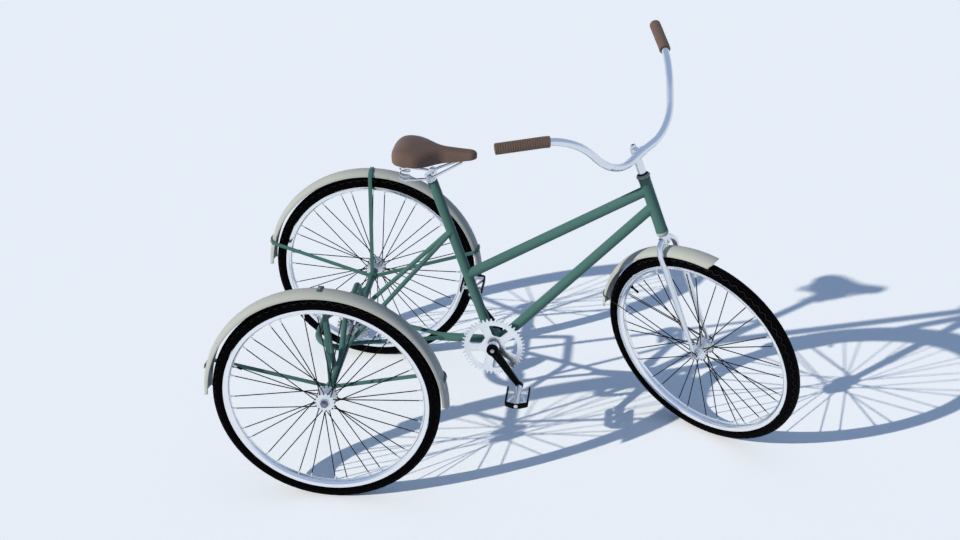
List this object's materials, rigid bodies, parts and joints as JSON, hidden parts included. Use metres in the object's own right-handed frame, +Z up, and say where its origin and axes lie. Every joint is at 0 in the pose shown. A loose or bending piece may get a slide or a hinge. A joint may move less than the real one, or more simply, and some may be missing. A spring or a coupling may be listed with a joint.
{
  "type": "adult tricycle",
  "caption": "Pedal tricycle for adults with a steered front wheel, spoked rear wheels on a braced axle, sprung saddle, swept-back handlebar and mudguards.",
  "frame": {"origin": "bottom centre of the overall box, on the ground", "axes": "+X forwards along the frame, +Y to the rider's left, +Z up"},
  "size_m": [1.7174, 0.8936, 1.2289],
  "materials": {
    "green_enamel": "glossy green enamel",
    "cream_enamel": "satin grey-cream enamel",
    "chrome_plate": "polished",
    "bright_steel": "bright zinc",
    "black_enamel": "glossy black",
    "black_rubber": "matt",
    "brown_leather": "satin"
  },
  "bodies": {
    "frame": {"head_tube": "green_enamel", "top_tube": "green_enamel", "down_tube": "green_enamel", "seat_tube": "green_enamel", "crank_shell": "green_enamel", "chain_stay_yoke": "green_enamel", "chain_stay_right": "green_enamel", "chain_stay_left": "green_enamel", "seat_stay_right": "green_enamel", "seat_stay_left": "green_enamel", "axle_tube_right": "green_enamel", "axle_tube_left": "green_enamel", "axle_arch": "green_enamel", "rear_hoop": "green_enamel", "rear_brace": "green_enamel", "mudguard_stays_right": "green_enamel", "mudguard_stays_left": "green_enamel", "rear_mudguard_right": "cream_enamel", "rear_mudguard_left": "cream_enamel", "headset_lower_cup": "cream_enamel", "axle_bush_right": "bright_steel", "axle_bush_left": "bright_steel", "crank_cartridge": "bright_steel"},
    "fork": {"fork_crown": "chrome_plate", "fork_blade_right": "chrome_plate", "fork_blade_left": "chrome_plate", "headset_locknut": "bright_steel", "front_axle": "bright_steel", "front_mudguard": "cream_enamel", "front_mudguard_stay": "chrome_plate"},
    "handlebar": {"stem": "chrome_plate", "stem_bolt": "chrome_plate", "handlebar": "chrome_plate", "grip_right": "brown_leather", "grip_left": "brown_leather"},
    "front_wheel": {"front_tyre": "black_rubber", "front_rim": "chrome_plate", "front_hub": "bright_steel"},
    "rear_wheel_right": {"rear_tyre_right": "black_rubber", "rear_rim_right": "chrome_plate", "rear_hub_right": "bright_steel", "axle_shaft_right": "bright_steel"},
    "rear_wheel_left": {"rear_tyre_left": "black_rubber", "rear_rim_left": "chrome_plate", "rear_hub_left": "bright_steel", "axle_shaft_left": "bright_steel"},
    "freewheel": {"freewheel_cogs": "bright_steel"},
    "cranks": {"crank_spindle": "bright_steel", "chainring": "bright_steel", "crank_right": "black_enamel", "crank_left": "black_enamel", "pedal_spindle_right": "bright_steel", "pedal_spindle_left": "bright_steel"},
    "pedal_right": {"pedal_right": "black_enamel"},
    "pedal_left": {"pedal_left": "black_enamel"},
    "seat_post": {"seat_post": "chrome_plate", "saddle_frame": "chrome_plate", "saddle_spring_right": "chrome_plate", "saddle_spring_left": "chrome_plate"},
    "saddle": {"saddle_cover": "brown_leather"}
  },
  "joints": [
    {"name": "steering", "type": "hinge", "parent": "frame", "child": "fork", "pos_m": [0.37379, 0, 0.88662], "axis": [-0.3355, 0, 0.9421], "range_deg": [-10.5, 79.5]},
    {"name": "stem_height", "type": "slide", "parent": "fork", "child": "handlebar", "axis": [-0.3355, 0, 0.9421], "range_m": [0, 0.04]},
    {"name": "front_wheel_spin", "type": "hinge", "parent": "fork", "child": "front_wheel", "pos_m": [0.57291, 0, 0.32742], "axis": [0.5336, 0.8241, 0.19], "continuous": true},
    {"name": "rear_wheel_right_spin", "type": "hinge", "parent": "frame", "child": "rear_wheel_right", "pos_m": [-0.50121, -0.4073, 0.332], "axis": [0, 1, 0], "continuous": true},
    {"name": "rear_wheel_left_spin", "type": "hinge", "parent": "frame", "child": "rear_wheel_left", "pos_m": [-0.50121, 0.4073, 0.332], "axis": [0, 1, 0], "continuous": true},
    {"name": "freewheel_spin", "type": "hinge", "parent": "rear_wheel_right", "child": "freewheel", "pos_m": [-0.50121, 0, 0.332], "axis": [0, 1, 0], "continuous": true},
    {"name": "crank_spin", "type": "hinge", "parent": "frame", "child": "cranks", "pos_m": [-0.05821, 0, 0.319], "axis": [0, 1, 0], "continuous": true},
    {"name": "pedal_right_spin", "type": "hinge", "parent": "cranks", "child": "pedal_right", "pos_m": [0.02604, -0.14, 0.20719], "axis": [0, 1, 0], "continuous": true},
    {"name": "pedal_left_spin", "type": "hinge", "parent": "cranks", "child": "pedal_left", "pos_m": [-0.14246, 0.14, 0.43081], "axis": [0, 1, 0], "continuous": true},
    {"name": "seat_height", "type": "slide", "parent": "frame", "child": "seat_post", "axis": [-0.3143, 0, 0.9493], "range_m": [0, 0.09]},
    {"name": "saddle_springing", "type": "hinge", "parent": "seat_post", "child": "saddle", "pos_m": [-0.14919, 0, 0.915], "axis": [0, -1, 0], "range_deg": [0, 3.5], "stiffness_Nm_per_rad": 1100, "deforming": ["saddle_spring_right", "saddle_spring_left"]}
  ]
}
